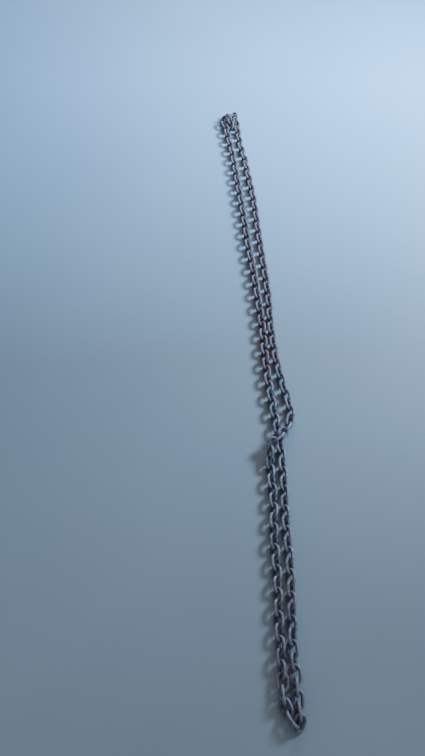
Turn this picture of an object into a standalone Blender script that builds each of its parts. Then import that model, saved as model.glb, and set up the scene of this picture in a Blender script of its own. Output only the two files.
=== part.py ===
# A long steel chain folded double and laid out on a floor.
# Units are metres, +Z is up and the chain's length runs along Y.
# The layout is worked out in millimetres and scaled once, where the meshes are made.
import math

import bmesh
import bpy
import mathutils
import numpy as np

for old in list(bpy.data.objects):
    bpy.data.objects.remove(old, do_unlink=True)

# Driving sizes of one link, in millimetres.
WIRE = 10.0
PITCH = 31.0
INSIDE_WIDTH = 15.9
SECTION_SIDES = 6
CROWN_STEPS = 3

# How far apart the wire centres of two linked crowns lie where the links are joined into one mesh, and
# how much looser than corner to corner the loose ones start. Settled, those keep a gap between two bounds.
JOINED = WIRE
LOOSER = 0.15
GAP_LEAST = 0.25
GAP_MOST = 0.32
GAP_ACROSS = 0.4
RUN_LENGTH = 5

# Sizes that follow from the link's own.
HALF_WIDTH = (INSIDE_WIDTH + WIRE) / 2
REACH = (PITCH + WIRE) / 2
LEG = REACH - HALF_WIDTH
SECTION_AREA = math.pi * WIRE * WIRE / 4
CORNER = math.sqrt(2 * SECTION_AREA / (SECTION_SIDES * math.sin(2 * math.pi / SECTION_SIDES)))
CROWN_STRETCH = 1 / math.cos(math.pi / (2 * CROWN_STEPS))
APART = 2 * CORNER

# The way each strand takes, read from the photograph: x, y and how far it is lifted off the floor.
# Both start at the bend at the near end and run to the loose ends at the far end.
OVER_ROUTE = [
    (-32, -1150, 0), (-30, -1100, 0), (-29, -1050, 0), (-27, -1000, 0), (-24, -950, 0), (-20, -900, 0),
    (-17, -850, 0), (-16, -800, 0), (-16, -750, 0), (-11, -700, 0), (-5, -640, 0), (-4, -580, 0),
    (-4, -530, 0), (0, -493, 3), (14, -465, 18), (35, -436, 31), (60, -408, 19), (79, -382, 2),
    (83, -352, 0), (81, -310, 0), (75, -275, 0), (69, -240, 0), (62, -180, 0), (57, -140, 0),
    (54, -60, 0), (54, 20, 0), (57, 100, 0), (58, 150, 0), (57, 260, 0), (53, 400, 0),
    (51, 500, 0), (50, 600, 0), (46, 700, 0), (38, 800, 0), (31, 900, 0), (24, 950, 0),
    (19, 1000, 0), (15, 1100, 0), (12, 1150, 0), (11, 1184, 0), (5, 1206, 8), (-12, 1210, 22),
    (-26, 1196, 34), (-40, 1184, 34)]
UNDER_ROUTE = [
    (2, -1160, 0), (0, -1120, 0), (4, -1040, 0), (8, -1000, 0), (12, -950, 0), (17, -900, 0),
    (21, -850, 0), (23, -800, 0), (24, -740, 0), (25, -700, 0), (28, -640, 0), (33, -590, 0),
    (36, -500, 0), (35, -440, 0), (32, -390, 0), (27, -320, 0), (22, -240, 0), (20, -140, 0),
    (22, -20, 0), (21, 60, 0), (18, 150, 0), (14, 260, 0), (6, 380, 0), (2, 500, 0),
    (-2, 600, 0), (-7, 700, 0), (-12, 800, 0), (-18, 910, 0), (-26, 1000, 0), (-33, 1060, 0),
    (-37, 1120, 0), (-41, 1150, 0), (-43, 1174, 4), (-35, 1193, 20), (-19, 1176, 30), (-13, 1149, 26),
    (-12, 1116, 20), (-12, 1085, 18)]

# Lean of the even links along each strand, in degrees from lying flat: first y, then the lean.
OVER_LEAN = [
    (-1170, 110), (-1110, 105), (-1080, 85), (-1045, 50), (-1000, 45), (-830, 45), (-805, 78), (-780, 45),
    (-360, 45), (-290, 40), (-220, 45), (150, 45), (300, 50), (450, 45), (800, 45), (900, 41),
    (1000, 45)]
UNDER_LEAN = [
    (-1180, -15), (-1075, 0), (-1045, 25), (-1000, 40), (-950, 45), (-800, 45), (-755, 42), (-700, 45),
    (-400, 45), (-320, 50), (-240, 45), (100, 45), (200, 41), (320, 45), (600, 45), (720, 49), (840, 45)]


def unit(vector):
    return vector / np.linalg.norm(vector)


def pointing(heading, climb):
    """Direction so many degrees round from straight towards the viewer, and so many up."""
    turn = math.radians(heading)
    rise = math.radians(climb)
    return np.array([math.sin(turn) * math.cos(rise), -math.cos(turn) * math.cos(rise), math.sin(rise)])


def across(along, lean):
    """Direction across a link that points along, leaning so many degrees from flat."""
    side = unit(np.cross(along, (0, 0, 1)))
    up = np.cross(side, along)
    turn = math.radians(lean)
    return side * math.cos(turn) + up * math.sin(turn)


def rest_height(lean):
    """Height of a strand's middle above the floor when its links lean so, first one way, then the other."""
    heights = []
    for slope in (lean % 90, 90 - lean % 90):
        off_corner = (slope + 15) % 60 - 30
        heights.append(HALF_WIDTH * math.sin(math.radians(slope))
                       + CORNER * math.cos(math.radians(off_corner)))
    return max(heights)


def smooth_route(points):
    """Fine line running smoothly through the points read from the photograph."""
    ends = np.vstack([2 * points[0] - points[1], points, 2 * points[-1] - points[-2]])
    line = []
    for k in range(1, len(ends) - 2):
        before, start, stop, after = ends[k - 1:k + 3]
        for t in np.arange(24) / 24:
            line.append(0.5 * (2 * start + (stop - before) * t
                               + (2 * before - 5 * start + 4 * stop - after) * t ** 2
                               + (3 * start - before - 3 * stop + after) * t ** 3))
    return np.array(line + [points[-1]])


def next_centre(centre, along, next_along, apart):
    """Middle of the next link, whose crown hooks the given link's with the wires so far apart."""
    both = along + next_along
    return centre + REACH * both - apart * unit(both)


def lay_strand(first, route, lean_table, count, odd_first, spacing):
    """Links laid one after another along a route, from the one given, as (middle, along, across)."""
    line = smooth_route(np.array(route, float))
    lean_y = [row[0] for row in lean_table]
    lean_deg = [row[1] for row in lean_table]
    links = [first]
    while len(links) < count:
        centre, along, width = links[-1]
        hook = centre + along * PITCH / 2
        distance = np.linalg.norm(line[:, :2] - hook[:2], axis=1)
        place = int(np.argmin(distance))
        while place < len(line) - 1 and distance[place] < PITCH:
            place += 1
        target = line[place].copy()
        lean = np.interp(target[1], lean_y, lean_deg)
        target[2] += rest_height(lean)
        if (len(links) % 2 == 1) == odd_first:
            lean += 90
        next_along = unit(target - hook)
        apart = spacing(len(links))
        links.append((next_centre(centre, along, next_along, apart), next_along,
                      across(next_along, lean)))
    return links


# The mesh of one link: a wire section swept round both crowns, lying flat with its length along Y.
# One side of the section faces down and outward at 45 degrees, so a leaning link rests on a flat.
def link_mesh():
    bm = bmesh.new()
    place = mathutils.Matrix.Translation((HALF_WIDTH, LEG, 0))
    stand = mathutils.Matrix.Rotation(math.radians(90), 4, "X")
    turn = mathutils.Matrix.Rotation(math.radians(15), 4, "Z")
    bmesh.ops.create_circle(bm, segments=SECTION_SIDES, radius=CORNER, matrix=place @ stand @ turn)
    edges = bm.edges[:]
    for end in (1, -1):
        swept = bmesh.ops.spin(bm, geom=edges, cent=(0, end * LEG, 0), axis=(0, 0, 1),
                               angle=math.pi, steps=CROWN_STEPS)
        last = [item for item in swept["geom_last"] if isinstance(item, bmesh.types.BMEdge)]
        leg = bmesh.ops.extrude_edge_only(bm, edges=last)
        moved = [item for item in leg["geom"] if isinstance(item, bmesh.types.BMVert)]
        edges = [item for item in leg["geom"] if isinstance(item, bmesh.types.BMEdge)]
        bmesh.ops.translate(bm, verts=moved, vec=(0, -2 * end * LEG, 0))
    bmesh.ops.remove_doubles(bm, verts=bm.verts, dist=0.01)
    for vert in bm.verts:
        if abs(vert.co.y) > LEG:
            past = (abs(vert.co.y) - LEG) * CROWN_STRETCH
            vert.co.y = math.copysign(LEG + past, vert.co.y)
    bmesh.ops.recalc_face_normals(bm, faces=bm.faces)
    return bm


LINK = link_mesh()
LINK_POINTS = np.array([vert.co for vert in LINK.verts])
LINK_FACES = [[vert.index for vert in face.verts] for face in LINK.faces]


def wire_path():
    """Points on the middle of the wire, as (across, along)."""
    corners = []
    for end in (1, -1):
        for k in range(CROWN_STEPS + 1):
            a = math.pi * k / CROWN_STEPS
            corners.append((end * HALF_WIDTH * math.cos(a),
                            end * (LEG + CROWN_STRETCH * HALF_WIDTH * math.sin(a))))
    points = []
    for start, stop in zip(corners, corners[1:] + corners[:1]):
        steps = int(math.dist(start, stop) / 2)
        for k in range(steps):
            points.append([a + (b - a) * k / steps for a, b in zip(start, stop)])
    return np.array(points)


WIRE_PATH = wire_path()
WIRE_OUTWARD = WIRE_PATH - np.stack([0 * WIRE_PATH[:, 0], np.clip(WIRE_PATH[:, 1], -LEG, LEG)], 1)
WIRE_OUTWARD /= np.linalg.norm(WIRE_OUTWARD, axis=1)[:, None]


def face_up(along, width):
    """The link's face direction, always on its upper side, and the width direction that goes with it."""
    face = np.cross(width, along)
    if face[2] < 0:
        return -face, -width
    return face, width


def placed_points(centre, along, width):
    """Corners of a link's mesh where the link lies."""
    face, side = face_up(along, width)
    return centre + LINK_POINTS[:, :1] * side + LINK_POINTS[:, 1:2] * along + LINK_POINTS[:, 2:] * face


def turned(vector, axis, angle):
    """The vector turned about the axis."""
    return (vector * math.cos(angle) + np.cross(axis, vector) * math.sin(angle)
            + axis * (axis @ vector) * (1 - math.cos(angle)))


def wire_reach(numbers, towards, along, width):
    """How far the six-sided wire reaches towards another link from the given points of its middle."""
    face = face_up(along, width)[0]
    outward = WIRE_OUTWARD[numbers, :1] * width + WIRE_OUTWARD[numbers, 1:] * along
    angle = np.degrees(np.arctan2(towards @ face, np.einsum("ij,ij->i", towards, outward)))
    off_corner = (angle + 45) % 60 - 30
    return CORNER * np.cos(np.radians(off_corner))


def closest(first, second):
    """The narrowest gap between two links, its direction and where on each link it lies."""
    between = (first[0] + WIRE_PATH[:, :1] * first[2] + WIRE_PATH[:, 1:] * first[1])[:, None] \
        - (second[0] + WIRE_PATH[:, :1] * second[2] + WIRE_PATH[:, 1:] * second[1])[None]
    distance = np.sqrt(np.einsum("abc,abc->ab", between, between))
    a, b = np.nonzero(distance < max(distance.min() + 1.0, 0.1))
    towards = between[a, b] / distance[a, b][:, None]
    gap = (distance[a, b] - wire_reach(a, -towards, first[1], first[2])
           - wire_reach(b, towards, second[1], second[2]))
    k = int(np.argmin(gap))
    return gap[k], towards[k], a[k], b[k]


# How free links are eased into place: how near others matter, how far a link drops in one sweep,
# how many last sweeps go without a drop, its play over the floor, how strongly a push off its
# middle turns it (a turning inertia over its mass, in square millimetres) and its most turn, in radians.
NEIGHBOURS = 2 * REACH + 2.5 * WIRE
DROP = 0.06
STILL_SWEEPS = 80
FLOOR_PLAY = 0.02
TURNING = 520.0
MOST_TURN = 0.08


def settle(links, free, sweeps=340):
    """Ease the free links apart and down onto the floor and each other, a little at a time."""
    centre = np.array([link[0] for link in links])
    along = np.array([link[1] for link in links])
    width = np.array([link[2] for link in links])
    near = np.linalg.norm(centre[:, None] - centre[None], axis=2) < NEIGHBOURS
    pairs = [(i, j) for i in range(len(links)) for j in range(i + 1, len(links))
             if near[i, j] and (i in free or j in free)]
    for sweep in range(sweeps):
        fall = DROP if sweep < sweeps - STILL_SWEEPS else 0.0
        move = {k: np.array([0, 0, -fall]) for k in free}
        spin = {k: np.zeros(3) for k in free}
        for i, j in pairs:
            if np.linalg.norm(centre[i] - centre[j]) > 2 * REACH + WIRE:
                continue
            gap, toward, a, b = closest((centre[i], along[i], width[i]), (centre[j], along[j], width[j]))
            push = max(GAP_ACROSS - gap, 0.0)
            if j == i + 1:
                push = max(GAP_LEAST - gap, 0.0) + min(GAP_MOST - gap, 0.0)
            shove = toward * push * 0.5
            for k, point, sign in ((i, a, 1), (j, b, -1)):
                if k in free:
                    arm = WIRE_PATH[point, 0] * width[k] + WIRE_PATH[point, 1] * along[k]
                    move[k] = move[k] + shove * 0.5 * sign
                    spin[k] = spin[k] + np.cross(arm, shove) * sign / TURNING
        for k in free:
            points = placed_points(centre[k], along[k], width[k])
            lowest = points[points[:, 2].argmin()]
            sunk = FLOOR_PLAY - lowest[2] - move[k][2]
            if sunk > 0:
                move[k][2] += sunk * 0.7
                spin[k] = spin[k] + np.cross(lowest - centre[k], (0, 0, sunk)) / TURNING
            centre[k] += move[k]
            angle = min(np.linalg.norm(spin[k]), MOST_TURN)
            if angle > 1e-6:
                axis = unit(spin[k])
                along[k] = unit(turned(along[k], axis, angle))
                width[k] = turned(width[k], axis, angle)
                width[k] = unit(width[k] - along[k] * (along[k] @ width[k]))
    return [(centre[k], along[k], width[k]) for k in range(len(links))]


# Links that stand alone instead of being joined into runs, counted outward from the bend.
OVER_COUNT = 82
UNDER_COUNT = 81
OVER_ALONE = [0, 1, 2, 3, 4, 13, 14, *range(23, 30), *range(OVER_COUNT - 5, OVER_COUNT)]
UNDER_ALONE = [0, 1, 2, 3, 4, *range(UNDER_COUNT - 5, UNDER_COUNT)]


def runs_of(count, alone):
    """Numbers of one strand's links, gathered into runs of at most RUN_LENGTH."""
    runs = []
    for k in range(count):
        if k in alone or not runs or runs[-1][0] in alone or len(runs[-1]) >= RUN_LENGTH:
            runs.append([])
        runs[-1].append(k)
    return runs


def spacing_for(runs, alone):
    starts = {run[0] for run in runs}

    def spacing(k):
        if k in alone and k - 1 in alone:
            return APART + LOOSER
        return APART if k in starts else JOINED
    return spacing


# The bend: one link lies near flat across the near end, and the first link of each strand hooks it.
BEND = (np.array([1.2, -1219.5, 12.0]), pointing(-11, -2), across(pointing(-11, -2), 27))
over_runs = runs_of(OVER_COUNT, OVER_ALONE)
under_runs = runs_of(UNDER_COUNT, UNDER_ALONE)
first_over_along = pointing(208, 0)
first_over = (np.array([-14.5, -1209.5, 19.0]), first_over_along, across(first_over_along, 90))
first_under_along = pointing(192, 0)
first_under = (np.array([-1.2, -1192.6, 19.5]), first_under_along, across(first_under_along, 85))
over = lay_strand(first_over, OVER_ROUTE, OVER_LEAN, OVER_COUNT, True, spacing_for(over_runs, OVER_ALONE))
under = lay_strand(first_under, UNDER_ROUTE, UNDER_LEAN, UNDER_COUNT, False,
                   spacing_for(under_runs, UNDER_ALONE))

# The whole chain in order, from the loose end of one strand round the bend to that of the other.
chain = over[::-1] + [BEND] + under
order = [OVER_COUNT - 1 - k for k in range(OVER_COUNT)]
groups = []
for run in over_runs:
    groups.append(("over", run, sorted(order[k] for k in run)))
groups.append(("bend", [0], [OVER_COUNT]))
for run in under_runs:
    groups.append(("under", run, [OVER_COUNT + 1 + k for k in run]))
free = {members[0] for strand, run, members in groups if len(members) == 1}
chain = settle(chain, free)

# Put the middle of the chain's outline over the origin, with every link on or above the floor.
cloud = np.array([placed_points(*link) for link in chain])
cloud[:, :, 2] += np.clip(-cloud[:, :, 2].min(axis=1), 0, None)[:, None]
low = cloud.min(axis=(0, 1))
high = cloud.max(axis=(0, 1))
shift = np.array([(low[0] + high[0]) / 2, (low[1] + high[1]) / 2, low[2]])
cloud = (cloud - shift) / 1000

steel = bpy.data.materials.new("chain_steel")
steel.use_nodes = True
shader = steel.node_tree.nodes["Principled BSDF"]
shader.inputs["Base Color"].default_value = (0.16, 0.13, 0.13, 1)
shader.inputs["Metallic"].default_value = 0.85
shader.inputs["Roughness"].default_value = 0.5

parts = bpy.data.collections.new("steel_chain")
bpy.context.scene.collection.children.link(parts)
cutters = bpy.data.collections.new("joining")
bpy.context.scene.collection.children.link(cutters)
cutters.hide_render = True


def link_object(name, number, collection):
    mesh = bpy.data.meshes.new(name)
    mesh.from_pydata([tuple(point) for point in cloud[number]], [], LINK_FACES)
    mesh.update()
    mesh.polygons.foreach_set("use_smooth", [True] * len(mesh.polygons))
    mesh.materials.append(steel)
    made = bpy.data.objects.new(name, mesh)
    collection.objects.link(made)
    return made


def node_name(strand, run, last):
    if strand == "bend":
        return "bend_link"
    if len(run) > 1:
        return f"{strand}_strand_links_{run[0] + 1:02d}_to_{run[-1] + 1:02d}"
    if run[0] == last:
        return f"{strand}_strand_end_link"
    return f"{strand}_strand_link_{run[0] + 1:02d}"


for strand, run, members in groups:
    last = OVER_COUNT - 1 if strand == "over" else UNDER_COUNT - 1
    name = node_name(strand, run, last)
    body = link_object(name, members[0], parts)
    for number in members[1:]:
        other = link_object(f"{name}_{number}", number, cutters)
        other.display_type = "WIRE"
        other.hide_render = True
        union = body.modifiers.new(f"join_{number}", "BOOLEAN")
        union.operation = "UNION"
        union.solver = "EXACT"
        union.object = other
LINK.free()
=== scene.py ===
# A long chain of rusty steel links, folded double and laid out on a workshop floor.
import math
import random

import bmesh
import bpy
import numpy as np
from mathutils import Matrix, Vector, noise


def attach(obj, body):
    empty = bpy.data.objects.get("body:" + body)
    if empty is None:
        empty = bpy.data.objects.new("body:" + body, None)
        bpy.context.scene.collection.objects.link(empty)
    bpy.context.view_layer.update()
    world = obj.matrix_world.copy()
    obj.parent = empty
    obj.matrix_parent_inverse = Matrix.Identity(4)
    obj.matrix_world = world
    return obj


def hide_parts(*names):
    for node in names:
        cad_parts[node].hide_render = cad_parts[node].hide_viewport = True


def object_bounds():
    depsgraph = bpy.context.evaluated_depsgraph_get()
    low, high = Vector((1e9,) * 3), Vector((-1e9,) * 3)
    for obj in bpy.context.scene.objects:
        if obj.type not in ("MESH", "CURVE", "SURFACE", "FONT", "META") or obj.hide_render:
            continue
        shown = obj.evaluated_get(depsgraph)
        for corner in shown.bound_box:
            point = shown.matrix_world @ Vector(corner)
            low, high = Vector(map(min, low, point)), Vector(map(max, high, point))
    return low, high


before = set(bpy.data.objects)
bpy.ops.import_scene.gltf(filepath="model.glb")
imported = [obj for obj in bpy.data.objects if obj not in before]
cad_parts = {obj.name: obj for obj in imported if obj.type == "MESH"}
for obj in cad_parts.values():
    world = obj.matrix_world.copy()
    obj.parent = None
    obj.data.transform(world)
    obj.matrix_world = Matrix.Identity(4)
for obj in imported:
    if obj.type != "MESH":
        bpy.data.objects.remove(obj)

cad_box = [list(corner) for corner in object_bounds()]

# The viewpoint: a phone held at head height over the near end, tipped well down along the chain.
# Its wide lens takes in the whole length, so the far end looks small.
EYE = (-0.2344, -1.1529, 1.69)
TIP_UP = 30.0
TURN = -3.0
LENS = 27.05

camera = bpy.data.objects.new("viewpoint", bpy.data.cameras.new("viewpoint"))
bpy.context.scene.collection.objects.link(camera)
camera.location = EYE
camera.rotation_euler = (math.radians(TIP_UP), 0, math.radians(TURN))
camera.data.lens = LENS
camera.data.sensor_width = 36
camera.data.sensor_fit = "AUTO"
bpy.context.scene.camera = camera


# The floor is a plain slab of pale blue-grey concrete, power-floated and a little cloudy. Towards the
# far end it is painted bluer and paler. This is painted light for the brighter, bluer daylight and glare
# that fall on the far floor. It belongs to the stage and not to the chain.
FLOOR_SIDE = 60.0
FLOOR_NEAR = -1.4
FLOOR_FAR = 1.5
# Painted light: the floor's tone from near to far stands in for how the daylight and glare fall along it.
FLOOR_PAINTED_LIGHT_TONES = [(0.0, (0.385, 0.38, 0.40)), (0.45, (0.30, 0.30, 0.31)), (1.0, (0.325, 0.515, 0.69))]

bm = bmesh.new()
bmesh.ops.create_grid(bm, x_segments=1, y_segments=1, size=FLOOR_SIDE / 2)
floor_mesh = bpy.data.meshes.new("concrete_floor")
bm.to_mesh(floor_mesh)
bm.free()
floor = bpy.data.objects.new("concrete_floor", floor_mesh)
bpy.context.scene.collection.objects.link(floor)

concrete = bpy.data.materials.new("floated_concrete")
concrete.use_nodes = True
nodes = concrete.node_tree.nodes
wires = concrete.node_tree.links
shader = nodes["Principled BSDF"]
shader.inputs["Roughness"].default_value = 0.6
shader.inputs["Specular IOR Level"].default_value = 0.4
place = nodes.new("ShaderNodeTexCoord")
split = nodes.new("ShaderNodeSeparateXYZ")
along_floor = nodes.new("ShaderNodeMapRange")
along_floor.inputs["From Min"].default_value = FLOOR_NEAR
along_floor.inputs["From Max"].default_value = FLOOR_FAR
tone = nodes.new("ShaderNodeValToRGB")
tone.color_ramp.elements.new(FLOOR_PAINTED_LIGHT_TONES[1][0])
for stop, (position, colour) in zip(tone.color_ramp.elements, FLOOR_PAINTED_LIGHT_TONES):
    stop.position = position
    stop.color = (*colour, 1)
clouds = nodes.new("ShaderNodeTexNoise")
clouds.inputs["Scale"].default_value = 1.6
clouds.inputs["Detail"].default_value = 4
clouds.inputs["Roughness"].default_value = 0.55
cloudy = nodes.new("ShaderNodeMix")
cloudy.data_type = "RGBA"
cloudy.blend_type = "MULTIPLY"
cloudy.inputs[0].default_value = 0.16
wires.new(place.outputs["Object"], split.inputs[0])
wires.new(split.outputs["Y"], along_floor.inputs["Value"])
wires.new(along_floor.outputs["Result"], tone.inputs["Fac"])
wires.new(place.outputs["Object"], clouds.inputs["Vector"])
wires.new(tone.outputs["Color"], cloudy.inputs[6])
wires.new(clouds.outputs["Fac"], cloudy.inputs[7])
wires.new(cloudy.outputs[2], shader.inputs["Base Color"])
floor_mesh.materials.append(concrete)


# Soft daylight comes in on the right, beside the far half of the chain, and lays the shadows out to the
# left. Bluer light from nearly the same place falls on the far half only. A little more comes from past
# the far end, and the rest is an even pale blue dimness from all over.
def daylight(name, place, aim, size, fan, power, colour):
    """A square soft light standing at its place and facing its aim, its light kept in a fan."""
    light = bpy.data.objects.new(name, bpy.data.lights.new(name, "AREA"))
    bpy.context.scene.collection.objects.link(light)
    light.location = place
    light.rotation_euler = (Vector(place) - Vector(aim)).to_track_quat("Z", "Y").to_euler()
    light.data.shape = "SQUARE"
    light.data.size = size
    light.data.spread = math.radians(fan)
    light.data.energy = power
    light.data.color = colour


daylight("side_window", (2.3, 0.85, 1.7), (0, 0.0, 0), 0.75, 180, 83, (0.42, 0.68, 1.0))
daylight("blue_window", (2.3, 1.0, 1.75), (0, 1.6, 0), 0.75, 100, 112, (0.27, 0.61, 1.0))
daylight("far_door", (0.3, 3.6, 2.0), (0, 0.6, 0), 2.0, 180, 48, (1.0, 0.82, 0.85))

world = bpy.data.worlds.new("dim_sky")
bpy.context.scene.world = world
world.use_nodes = True
world.node_tree.nodes["Background"].inputs["Color"].default_value = (0.605, 0.80, 0.95, 1)
world.node_tree.nodes["Background"].inputs["Strength"].default_value = 0.36


# The way the chain lies. It is folded double: a bend link at the near end, and from it two strands of
# 82 and 81 links that run to a small heap at the far end. The longer one crosses over the other.
# Each row is x, y and the lift off the floor in millimetres, on the sheet that the route was read on.
WIRE = 10.0
PITCH = 31.0
INSIDE_WIDTH = 15.9
HALF_WIDTH = (INSIDE_WIDTH + WIRE) / 2
REACH = (PITCH + WIRE) / 2
LEG = REACH - HALF_WIDTH

OVER_ROUTE = [
    (-32, -1150, 0), (-30, -1100, 0), (-29, -1050, 0), (-27, -1000, 0), (-24, -950, 0), (-20, -900, 0),
    (-17, -850, 0), (-16, -800, 0), (-16, -750, 0), (-11, -700, 0), (-5, -640, 0), (-4, -580, 0),
    (-4, -530, 0), (0, -493, 3), (14, -465, 18), (35, -436, 31), (60, -408, 19), (79, -382, 2),
    (83, -352, 0), (81, -310, 0), (75, -275, 0), (69, -240, 0), (62, -180, 0), (57, -140, 0),
    (54, -60, 0), (54, 20, 0), (57, 100, 0), (58, 150, 0), (57, 260, 0), (53, 400, 0),
    (51, 500, 0), (50, 600, 0), (46, 700, 0), (38, 800, 0), (31, 900, 0), (24, 950, 0),
    (19, 1000, 0), (15, 1100, 0), (12, 1150, 0), (11, 1184, 0), (5, 1206, 8), (-12, 1210, 22),
    (-26, 1196, 34), (-40, 1184, 34)]
UNDER_ROUTE = [
    (2, -1160, 0), (0, -1120, 0), (4, -1040, 0), (8, -1000, 0), (12, -950, 0), (17, -900, 0),
    (21, -850, 0), (23, -800, 0), (24, -740, 0), (25, -700, 0), (28, -640, 0), (33, -590, 0),
    (36, -500, 0), (35, -440, 0), (32, -390, 0), (27, -320, 0), (22, -240, 0), (20, -140, 0),
    (22, -20, 0), (21, 60, 0), (18, 150, 0), (14, 260, 0), (6, 380, 0), (2, 500, 0),
    (-2, 600, 0), (-7, 700, 0), (-12, 800, 0), (-18, 910, 0), (-26, 1000, 0), (-33, 1060, 0),
    (-37, 1120, 0), (-41, 1150, 0), (-43, 1174, 4), (-35, 1193, 20), (-19, 1176, 30), (-13, 1149, 26),
    (-12, 1116, 20), (-12, 1085, 18)]

# Lean of the even links along each strand, in degrees from lying flat: first y, then the lean.
OVER_LEAN = [
    (-1170, 110), (-1110, 105), (-1080, 85), (-1045, 50), (-1000, 45), (-830, 45), (-805, 78), (-780, 45),
    (-360, 45), (-290, 40), (-220, 45), (150, 45), (300, 50), (450, 45), (800, 45), (900, 41),
    (1000, 45)]
UNDER_LEAN = [
    (-1180, -15), (-1075, 0), (-1045, 25), (-1000, 40), (-950, 45), (-800, 45), (-755, 42), (-700, 45),
    (-400, 45), (-320, 50), (-240, 45), (100, 45), (200, 41), (320, 45), (600, 45), (720, 49), (840, 45)]

# The plain link that the solids are laid with: its wire has six sides, the first of them turned a
# little off the link's own plane, and each of its crowns has three bends.
PLAIN_SIDES = 6
PLAIN_BENDS = 3
PLAIN_TURN = 15
SIDE_ANGLE = 360 // PLAIN_SIDES
CORNER = math.sqrt(math.pi * WIRE * WIRE / (2 * PLAIN_SIDES * math.sin(2 * math.pi / PLAIN_SIDES)))
CROWN_STRETCH = 1 / math.cos(math.pi / (2 * PLAIN_BENDS))


def unit(vector):
    return vector / np.linalg.norm(vector)


def pointing(heading, climb):
    """Direction so many degrees round from straight towards the viewer, and so many up."""
    turn = math.radians(heading)
    rise = math.radians(climb)
    return np.array([math.sin(turn) * math.cos(rise), -math.cos(turn) * math.cos(rise), math.sin(rise)])


def across(along, lean):
    """Direction across a link that points along, leaning so many degrees from flat."""
    side = unit(np.cross(along, (0, 0, 1)))
    up = np.cross(side, along)
    turn = math.radians(lean)
    return side * math.cos(turn) + up * math.sin(turn)


def rest_height(lean):
    """Height of a strand's middle above the floor when its links lean so, first one way, then the other."""
    heights = []
    for slope in (lean % 90, 90 - lean % 90):
        off_corner = (slope + PLAIN_TURN) % SIDE_ANGLE - SIDE_ANGLE / 2
        heights.append(HALF_WIDTH * math.sin(math.radians(slope))
                       + CORNER * math.cos(math.radians(off_corner)))
    return max(heights)


ROUTE_STEPS = 24


def smooth_route(points):
    """Fine line running smoothly through the points read from the photograph."""
    ends = np.vstack([2 * points[0] - points[1], points, 2 * points[-1] - points[-2]])
    line = []
    for k in range(1, len(ends) - 2):
        before, start, stop, after = ends[k - 1:k + 3]
        for t in np.arange(ROUTE_STEPS) / ROUTE_STEPS:
            line.append(0.5 * (2 * start + (stop - before) * t
                               + (2 * before - 5 * start + 4 * stop - after) * t ** 2
                               + (3 * start - before - 3 * stop + after) * t ** 3))
    return np.array(line + [points[-1]])


def next_centre(centre, along, next_along, apart):
    """Middle of the next link, whose crown hooks the given link's with the wires so far apart."""
    both = along + next_along
    return centre + REACH * both - apart * unit(both)


def lay_strand(first, route, lean_table, count, odd_first, spacing):
    """Links laid one after another along a route, from the one given, as (middle, along, across)."""
    line = smooth_route(np.array(route, float))
    lean_y = [row[0] for row in lean_table]
    lean_deg = [row[1] for row in lean_table]
    links = [first]
    while len(links) < count:
        centre, along, width = links[-1]
        hook = centre + along * PITCH / 2
        distance = np.linalg.norm(line[:, :2] - hook[:2], axis=1)
        place = int(np.argmin(distance))
        while place < len(line) - 1 and distance[place] < PITCH:
            place += 1
        target = line[place].copy()
        lean = np.interp(target[1], lean_y, lean_deg)
        target[2] += rest_height(lean)
        if (len(links) % 2 == 1) == odd_first:
            lean += 90
        next_along = unit(target - hook)
        apart = spacing(len(links))
        links.append((next_centre(centre, along, next_along, apart), next_along,
                      across(next_along, lean)))
    return links


def swept_link(sides, corner, turned_by, bends, leg_steps):
    """A wire section swept round both crowns and down both legs, lying flat with its length along Y."""
    link = bmesh.new()
    place = Matrix.Translation((HALF_WIDTH, LEG, 0))
    stand = Matrix.Rotation(math.radians(90), 4, "X")
    turn = Matrix.Rotation(math.radians(turned_by), 4, "Z")
    bmesh.ops.create_circle(link, segments=sides, radius=corner, matrix=place @ stand @ turn)
    edges = link.edges[:]
    for end, steps in zip((1, -1), leg_steps):
        swept = bmesh.ops.spin(link, geom=edges, cent=(0, end * LEG, 0), axis=(0, 0, 1),
                               angle=math.pi, steps=bends)
        edges = [item for item in swept["geom_last"] if isinstance(item, bmesh.types.BMEdge)]
        for step in range(steps):
            leg = bmesh.ops.extrude_edge_only(link, edges=edges)
            moved = [item for item in leg["geom"] if isinstance(item, bmesh.types.BMVert)]
            edges = [item for item in leg["geom"] if isinstance(item, bmesh.types.BMEdge)]
            bmesh.ops.translate(link, verts=moved, vec=(0, -2 * end * LEG / steps, 0))
    bmesh.ops.remove_doubles(link, verts=link.verts, dist=0.01)
    bmesh.ops.recalc_face_normals(link, faces=link.faces)
    return link


plain_link = swept_link(PLAIN_SIDES, CORNER, PLAIN_TURN, PLAIN_BENDS, (1, 1))
PLAIN_POINTS = np.array([vert.co for vert in plain_link.verts])
plain_link.free()
past_leg = np.clip(np.abs(PLAIN_POINTS[:, 1]) - LEG, 0, None)
PLAIN_POINTS[:, 1] += np.sign(PLAIN_POINTS[:, 1]) * past_leg * (CROWN_STRETCH - 1)


PATH_STEP = 2


def wire_path():
    """Points on the middle of the plain link's wire, as (across, along)."""
    corners = []
    for end in (1, -1):
        for k in range(PLAIN_BENDS + 1):
            a = math.pi * k / PLAIN_BENDS
            corners.append((end * HALF_WIDTH * math.cos(a),
                            end * (LEG + CROWN_STRETCH * HALF_WIDTH * math.sin(a))))
    points = []
    for start, stop in zip(corners, corners[1:] + corners[:1]):
        steps = int(math.dist(start, stop) / PATH_STEP)
        for k in range(steps):
            points.append([a + (b - a) * k / steps for a, b in zip(start, stop)])
    return np.array(points)


WIRE_PATH = wire_path()
WIRE_OUTWARD = WIRE_PATH - np.stack([0 * WIRE_PATH[:, 0], np.clip(WIRE_PATH[:, 1], -LEG, LEG)], 1)
WIRE_OUTWARD /= np.linalg.norm(WIRE_OUTWARD, axis=1)[:, None]


def face_up(along, width):
    """The link's face direction, always on its upper side, and the width direction that goes with it."""
    face = np.cross(width, along)
    if face[2] < 0:
        return -face, -width
    return face, width


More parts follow.
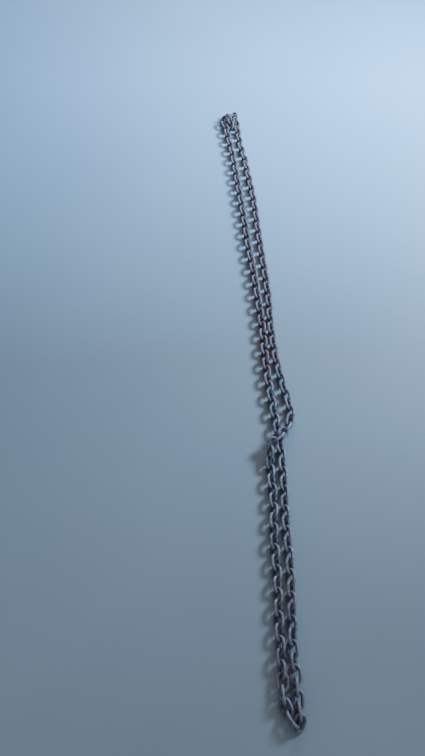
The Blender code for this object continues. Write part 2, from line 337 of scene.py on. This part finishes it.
def placed_points(points, centre, along, width):
    """Points of a link lying flat, where the link lies in the chain."""
    face, side = face_up(along, width)
    return centre + points[:, :1] * side + points[:, 1:2] * along + points[:, 2:] * face


def turned(vector, axis, angle):
    """The vector turned about the axis."""
    return (vector * math.cos(angle) + np.cross(axis, vector) * math.sin(angle)
            + axis * (axis @ vector) * (1 - math.cos(angle)))


def wire_reach(numbers, towards, along, width):
    """How far the six-sided wire reaches towards another link from the given points of its middle."""
    face = face_up(along, width)[0]
    outward = WIRE_OUTWARD[numbers, :1] * width + WIRE_OUTWARD[numbers, 1:] * along
    angle = np.degrees(np.arctan2(towards @ face, np.einsum("ij,ij->i", towards, outward)))
    off_corner = (angle + 3 * PLAIN_TURN) % SIDE_ANGLE - SIDE_ANGLE / 2
    return CORNER * np.cos(np.radians(off_corner))


def closest(first, second):
    """The narrowest gap between two links, its direction and where on each link it lies."""
    between = (first[0] + WIRE_PATH[:, :1] * first[2] + WIRE_PATH[:, 1:] * first[1])[:, None] \
        - (second[0] + WIRE_PATH[:, :1] * second[2] + WIRE_PATH[:, 1:] * second[1])[None]
    distance = np.sqrt(np.einsum("abc,abc->ab", between, between))
    a, b = np.nonzero(distance < max(distance.min() + 1.0, 0.1))
    towards = between[a, b] / distance[a, b][:, None]
    gap = (distance[a, b] - wire_reach(a, -towards, first[1], first[2])
           - wire_reach(b, towards, second[1], second[2]))
    k = int(np.argmin(gap))
    return gap[k], towards[k], a[k], b[k]


# How the loose links are eased into place: the gap they keep, how near others matter, how far a link
# drops in one sweep, how many last sweeps go without a drop, its play over the floor, what share of a
# gap or of a sinking is made good at once, how strongly a push off its middle turns it and its most turn.
GAP_LEAST = 0.25
GAP_MOST = 0.32
GAP_ACROSS = 0.4
NEIGHBOURS = 2 * REACH + 2.5 * WIRE
SWEEPS = 340
STILL_SWEEPS = 80
DROP = 0.06
FLOOR_PLAY = 0.02
PUSH_SHARE = 0.5
LIFT_SHARE = 0.7
TURNING = 520.0
MOST_TURN = 0.08


def settle(links, free):
    """Ease the free links apart and down onto the floor and each other, a little at a time."""
    centre = np.array([link[0] for link in links])
    along = np.array([link[1] for link in links])
    width = np.array([link[2] for link in links])
    near = np.linalg.norm(centre[:, None] - centre[None], axis=2) < NEIGHBOURS
    pairs = [(i, j) for i in range(len(links)) for j in range(i + 1, len(links))
             if near[i, j] and (i in free or j in free)]
    for sweep in range(SWEEPS):
        fall = DROP if sweep < SWEEPS - STILL_SWEEPS else 0.0
        move = {k: np.array([0, 0, -fall]) for k in free}
        spin = {k: np.zeros(3) for k in free}
        for i, j in pairs:
            if np.linalg.norm(centre[i] - centre[j]) > 2 * REACH + WIRE:
                continue
            gap, toward, a, b = closest((centre[i], along[i], width[i]), (centre[j], along[j], width[j]))
            push = max(GAP_ACROSS - gap, 0.0)
            if j == i + 1:
                push = max(GAP_LEAST - gap, 0.0) + min(GAP_MOST - gap, 0.0)
            shove = toward * push * PUSH_SHARE
            for k, point, sign in ((i, a, 1), (j, b, -1)):
                if k in free:
                    arm = WIRE_PATH[point, 0] * width[k] + WIRE_PATH[point, 1] * along[k]
                    move[k] = move[k] + shove * PUSH_SHARE * sign
                    spin[k] = spin[k] + np.cross(arm, shove) * sign / TURNING
        for k in free:
            points = placed_points(PLAIN_POINTS, centre[k], along[k], width[k])
            lowest = points[points[:, 2].argmin()]
            sunk = FLOOR_PLAY - lowest[2] - move[k][2]
            if sunk > 0:
                move[k][2] += sunk * LIFT_SHARE
                spin[k] = spin[k] + np.cross(lowest - centre[k], (0, 0, sunk)) / TURNING
            centre[k] += move[k]
            angle = min(np.linalg.norm(spin[k]), MOST_TURN)
            if angle > 1e-6:
                axis = unit(spin[k])
                along[k] = unit(turned(along[k], axis, angle))
                width[k] = turned(width[k], axis, angle)
                width[k] = unit(width[k] - along[k] * (along[k] @ width[k]))
    return [(centre[k], along[k], width[k]) for k in range(len(links))]


# Links are counted outward from the bend. Most belong to runs of up to five, the rest stand alone.
JOINED = WIRE
APART = 2 * CORNER
LOOSER = 0.15
RUN_LENGTH = 5
OVER_COUNT = 82
UNDER_COUNT = 81
OVER_ALONE = [0, 1, 2, 3, 4, 13, 14, *range(23, 30), *range(OVER_COUNT - 5, OVER_COUNT)]
UNDER_ALONE = [0, 1, 2, 3, 4, *range(UNDER_COUNT - 5, UNDER_COUNT)]


def runs_of(count, alone):
    """Numbers of one strand's links, gathered into runs of at most RUN_LENGTH."""
    runs = []
    for k in range(count):
        if k in alone or not runs or runs[-1][0] in alone or len(runs[-1]) >= RUN_LENGTH:
            runs.append([])
        runs[-1].append(k)
    return runs


def spacing_for(runs, alone):
    """How far apart the wires of a link and the one before it are set, by the link's number."""
    starts = {run[0] for run in runs}

    def spacing(k):
        if k in alone and k - 1 in alone:
            return APART + LOOSER
        return APART if k in starts else JOINED
    return spacing


BEND = (np.array([1.2, -1219.5, 12.0]), pointing(-11, -2), across(pointing(-11, -2), 27))
over_runs = runs_of(OVER_COUNT, OVER_ALONE)
under_runs = runs_of(UNDER_COUNT, UNDER_ALONE)
first_over_along = pointing(208, 0)
first_over = (np.array([-14.5, -1209.5, 19.0]), first_over_along, across(first_over_along, 90))
first_under_along = pointing(192, 0)
first_under = (np.array([-1.2, -1192.6, 19.5]), first_under_along, across(first_under_along, 85))
over = lay_strand(first_over, OVER_ROUTE, OVER_LEAN, OVER_COUNT, True, spacing_for(over_runs, OVER_ALONE))
under = lay_strand(first_under, UNDER_ROUTE, UNDER_LEAN, UNDER_COUNT, False,
                   spacing_for(under_runs, UNDER_ALONE))


def node_name(strand, run, last):
    if len(run) > 1:
        return f"{strand}_strand_links_{run[0] + 1:02d}_to_{run[-1] + 1:02d}"
    if run[0] == last:
        return f"{strand}_strand_end_link"
    return f"{strand}_strand_link_{run[0] + 1:02d}"


chain = over[::-1] + [BEND] + under
members_of = {}
for run in over_runs:
    members_of[node_name("over", run, OVER_COUNT - 1)] = [OVER_COUNT - 1 - k for k in run]
members_of["bend_link"] = [OVER_COUNT]
for run in under_runs:
    members_of[node_name("under", run, UNDER_COUNT - 1)] = [OVER_COUNT + 1 + k for k in run]
chain = settle(chain, {members[0] for members in members_of.values() if len(members) == 1})

# The row's origin is on the floor under the middle of the chain's outline.
cloud = np.array([placed_points(PLAIN_POINTS, *link) for link in chain])
lifts = np.clip(-cloud[:, :, 2].min(axis=1), 0, None)
cloud[:, :, 2] += lifts[:, None]
low = cloud.min(axis=(0, 1))
high = cloud.max(axis=(0, 1))
shift = np.array([(low[0] + high[0]) / 2, (low[1] + high[1]) / 2, low[2]])


# The links are short lengths of round mild steel bar, each bent to an oval through the one before and
# flash-welded shut half way down one leg. The weld leaves a low collar with a pinch on either side, and
# years of rubbing and rust have thinned the bar a little and pitted it.
BAR = 9.9
BAR_SIDES = 16
CROWN_BENDS = 10
WELD_LEG_STEPS = 10
PLAIN_LEG_STEPS = 4
COLLAR_HEIGHT = 0.2
COLLAR_WIDTH = 1.3
PINCH_DEPTH = 0.16
PINCH_PLACE = 3.0
PIT_DEPTH = 0.14
PIT_SIZE = 5.0

round_link = swept_link(BAR_SIDES, BAR / 2, 0, CROWN_BENDS, (WELD_LEG_STEPS, PLAIN_LEG_STEPS))
BAR_POINTS = np.array([vert.co for vert in round_link.verts])
bar_mesh = bpy.data.meshes.new("round_link")
round_link.to_mesh(bar_mesh)
round_link.free()

# Directions out of the bar's middle, how far each point is round towards the link's inside,
# and how near it is to a crown's top and to the weld.
bar_middle = np.zeros_like(BAR_POINTS)
leg_place = np.clip(BAR_POINTS[:, 1], -LEG, LEG)
from_bend = np.stack([BAR_POINTS[:, 0], BAR_POINTS[:, 1] - leg_place], 1)
from_bend /= np.linalg.norm(from_bend, axis=1)[:, None]
bar_middle[:, 0] = from_bend[:, 0] * HALF_WIDTH
bar_middle[:, 1] = leg_place + from_bend[:, 1] * HALF_WIDTH
bar_out = BAR_POINTS - bar_middle
bar_out /= np.linalg.norm(bar_out, axis=1)[:, None]
inward = -np.sum(bar_out[:, :2] * from_bend, axis=1)
crown_top = np.abs(from_bend[:, 1])
on_weld_leg = BAR_POINTS[:, 0] < 0
from_weld = np.abs(BAR_POINTS[:, 1])
collar = on_weld_leg * np.exp(-(from_weld / COLLAR_WIDTH) ** 2)
pinch = on_weld_leg * np.exp(-((from_weld - PINCH_PLACE) / COLLAR_WIDTH) ** 2)
BAR_POINTS = BAR_POINTS + bar_out * (collar * COLLAR_HEIGHT - pinch * PINCH_DEPTH)[:, None]
RUB = np.clip(inward, 0, 1) ** 0.7 * crown_top ** 2
OUTSIDE = np.clip(-inward, 0, 1)
WELD = np.clip(collar + 0.6 * pinch, 0, 1)

draw = random.Random(163)


def bar_link(number):
    """Points of one link where it lies, pitted its own way and kept within the solids' outer box."""
    centre, along, width = chain[number]
    if draw.random() < 0.5:
        along, width = -along, -width
    points = BAR_POINTS.copy()
    for k, point in enumerate(points):
        spot = Vector(point) / PIT_SIZE + Vector((0, 0, 7.0 * number))
        points[k] -= bar_out[k] * PIT_DEPTH * (0.5 + 0.5 * noise.noise(spot))
    placed = placed_points(points, centre, along, width)
    placed[:, 2] += lifts[number]
    placed = placed - shift
    placed[:, 2] += max(0.0, -placed[:, 2].min())
    return np.clip(placed / 1000, *cad_box)


# Bare mild steel that has lain about for years. A dull blue-grey skin of mill scale is left in patches,
# worn to lilac-grey on the outsides, and rust has broken through in between: most where the crowns rub
# together and along the far half of the chain. Fine pits roughen all of it. The scale's dark blue-grey,
# laid thickest on the links' insides, is partly painted shade for the bluish shade between the links.
STEEL = (0.312, 0.256, 0.270)
SCALE_AND_PAINTED_SHADE = (0.112, 0.100, 0.126)
RUST = (0.275, 0.148, 0.138)
OLD_RUST = (0.142, 0.086, 0.092)

steel = bpy.data.materials.new("rusty_chain_steel")
steel.use_nodes = True
tree = steel.node_tree
shader = tree.nodes["Principled BSDF"]


def add_node(kind, **settings):
    """A node in the steel's tree, with its settings and the plain values of its sockets."""
    made = tree.nodes.new("ShaderNode" + kind)
    for name, value in settings.items():
        if hasattr(made, name):
            setattr(made, name, value)
        else:
            made.inputs[name].default_value = value
    return made


def join(source, target):
    tree.links.new(source, target)


def noise_node(size, detail, roughness=0.55):
    """Cloudy noise whose patches are about so many metres across."""
    made = add_node("TexNoise", Scale=1 / size, Detail=detail, Roughness=roughness)
    join(where.outputs["Object"], made.inputs["Vector"])
    return made.outputs["Fac"]


def attribute(name):
    return add_node("Attribute", attribute_name=name).outputs["Fac"]


def weighted(*terms):
    """Sum of masks, each times its weight; a plain number stands for itself."""
    total = None
    for term in terms:
        if isinstance(term, (int, float)):
            part = term
        else:
            times = add_node("Math", operation="MULTIPLY")
            join(term[0], times.inputs[0])
            times.inputs[1].default_value = term[1]
            part = times.outputs[0]
        if total is None:
            total = part
            continue
        plus = add_node("Math", operation="ADD")
        join(total, plus.inputs[0])
        if isinstance(part, (int, float)):
            plus.inputs[1].default_value = part
        else:
            join(part, plus.inputs[1])
        total = plus.outputs[0]
    return total


def between(mask, low_value, high_value, start=0.0, stop=1.0):
    """Value that goes from one to the other as the mask goes from start to stop."""
    made = add_node("MapRange", clamp=True)
    made.inputs["From Min"].default_value = start
    made.inputs["From Max"].default_value = stop
    made.inputs["To Min"].default_value = low_value
    made.inputs["To Max"].default_value = high_value
    join(mask, made.inputs["Value"])
    return made.outputs["Result"]


def blended(mask, first, second):
    """Colour that goes from the first to the second as the mask goes from 0 to 1."""
    made = add_node("Mix", data_type="RGBA")
    join(mask, made.inputs[0])
    for socket, colour in ((made.inputs[6], first), (made.inputs[7], second)):
        if isinstance(colour, tuple):
            socket.default_value = (*colour, 1)
        else:
            join(colour, socket)
    return made.outputs[2]


where = add_node("TexCoord")
blotches = noise_node(0.006, 5)
patches = noise_node(0.045, 3)
grain = noise_node(0.0011, 4, 0.65)
flecks = noise_node(0.0026, 2)
apart = add_node("SeparateXYZ")
join(where.outputs["Object"], apart.inputs[0])
far_half = between(apart.outputs["Y"], 0, 1, -0.5, 0.2)
# Patchy mill scale and painted shade: the outside weight lays the dark blue-grey thickest on the links'
# insides, where shade falls between them.
scale_and_painted_shade = between(weighted((blotches, 1.0), (patches, 0.5), (attribute("outside"), -0.55),
                          (attribute("shade"), 0.35), (attribute("weld"), 0.35)), 0, 1, 0.42, 0.95)
rusted = between(weighted((blotches, 0.8), (patches, 0.7), (grain, 0.3), (attribute("rub"), 0.4),
                          (attribute("weld"), 0.12), (attribute("shade"), -0.12), (far_half, 0.27)),
                 0, 1, 0.90, 1.15)
rust = blended(between(flecks, 0, 1, 0.40, 0.62), RUST, OLD_RUST)
skin = blended(rusted, blended(scale_and_painted_shade, STEEL, SCALE_AND_PAINTED_SHADE), rust)
join(skin, shader.inputs["Base Color"])
join(between(weighted((scale_and_painted_shade, 0.45), (rusted, 0.7)), 0.40, 0.0), shader.inputs["Metallic"])
join(between(weighted((scale_and_painted_shade, 0.35), (rusted, 0.6), (grain, 0.3)), 0.48, 0.90), shader.inputs["Roughness"])
bump = add_node("Bump", Strength=0.8, Distance=0.0005)
join(weighted((grain, 0.7), (blotches, 0.8), (flecks, 0.5), (rusted, 0.35)), bump.inputs["Height"])
join(bump.outputs["Normal"], shader.inputs["Normal"])

for name, members in members_of.items():
    links = bmesh.new()
    for number in members:
        links.from_mesh(bar_mesh)
        links.verts.ensure_lookup_table()
        for vert, point in zip(links.verts[-len(BAR_POINTS):], bar_link(number)):
            vert.co = point
    mesh = bpy.data.meshes.new("welded_" + name)
    links.to_mesh(mesh)
    links.free()
    mesh.shade_smooth()
    mesh.materials.append(steel)
    shades = np.repeat([draw.random() for number in members], len(BAR_POINTS))
    for label, values in (("rub", RUB), ("outside", OUTSIDE), ("weld", WELD)):
        mesh.attributes.new(label, "FLOAT", "POINT").data.foreach_set("value", np.tile(values, len(members)))
    mesh.attributes.new("shade", "FLOAT", "POINT").data.foreach_set("value", shades)
    piece = bpy.data.objects.new("welded_" + name, mesh)
    bpy.context.scene.collection.objects.link(piece)
    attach(piece, "root")
    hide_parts(name)

bpy.data.meshes.remove(bar_mesh)
